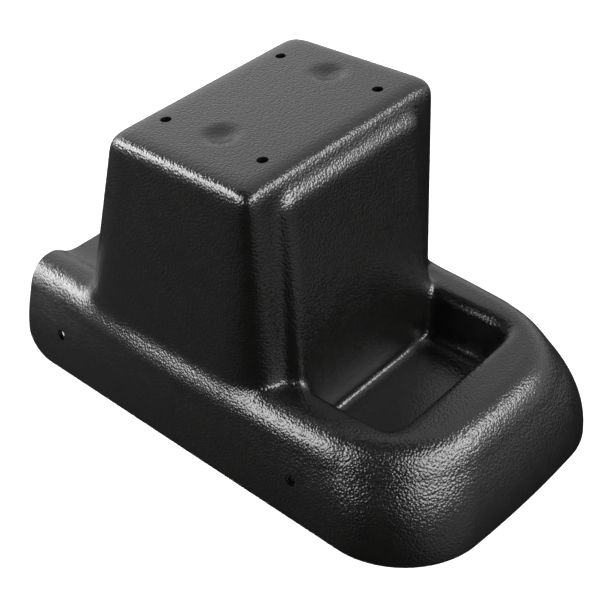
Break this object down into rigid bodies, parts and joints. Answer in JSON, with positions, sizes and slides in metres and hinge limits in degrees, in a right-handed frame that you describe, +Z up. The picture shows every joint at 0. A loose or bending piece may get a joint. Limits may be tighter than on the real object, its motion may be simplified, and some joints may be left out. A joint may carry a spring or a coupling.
{
  "type": "mounting block",
  "caption": "Hollow moulded mounting block: a tapered pedestal with a flat drilled deck, a raised front panel and an open tray in a rolled rim",
  "frame": {"origin": "on the floor, below the middle of the block", "axes": "+X towards the rounded tray end, +Y across the block to the left of +X, +Z up"},
  "size_m": [0.366, 0.207, 0.213],
  "materials": {
    "shell_moulding": "satin black with a fine pebbled grain",
    "zinc_plate": "zinc plated sheet steel",
    "foam_pad": "closed cell foam tape",
    "zinc_nut": "zinc plated"
  },
  "bodies": {
    "root": {"outer_shell": "shell_moulding", "top_backing_plate": "zinc_plate", "bonding_pad_right": "foam_pad", "bonding_pad_left": "foam_pad", "weld_nut_1": "zinc_nut", "weld_nut_2": "zinc_nut", "weld_nut_3": "zinc_nut", "weld_nut_4": "zinc_nut"}
  },
  "joints": []
}
